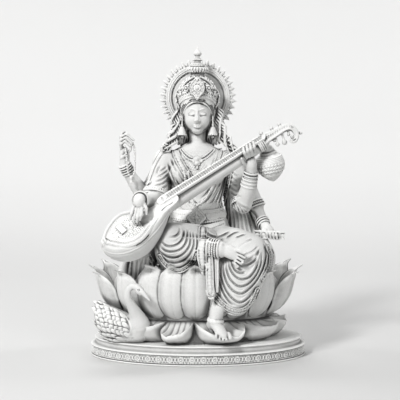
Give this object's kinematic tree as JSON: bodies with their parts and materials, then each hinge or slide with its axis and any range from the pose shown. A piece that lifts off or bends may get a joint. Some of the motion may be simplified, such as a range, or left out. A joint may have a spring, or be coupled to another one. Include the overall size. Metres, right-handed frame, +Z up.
{
  "type": "seated four-armed figure statue",
  "caption": "Table-top devotional statue of a seated four-armed goddess playing a long-necked lute on a lotus throne, with a swan, on an oval plinth.",
  "frame": {"origin": "centre of the oval plinth's flat underside", "axes": "+Z up, the figure faces -Y, +X is to the viewer's right"},
  "size_m": [0.28, 0.1881, 0.4001],
  "materials": {
    "plinth_stone": "matt cast marble-dust, unpainted",
    "lotus_throne_stone": "matt cast marble-dust, unpainted",
    "swan_stone": "matt cast marble-dust, unpainted",
    "figure_stone": "matt cast marble-dust, unpainted",
    "veena_stone": "matt cast marble-dust, unpainted",
    "halo_stone": "matt cast marble-dust, unpainted"
  },
  "bodies": {
    "root": {"plinth": "plinth_stone", "lotus_throne": "lotus_throne_stone", "swan": "swan_stone", "figure": "figure_stone", "veena": "veena_stone", "halo": "halo_stone"}
  },
  "joints": []
}
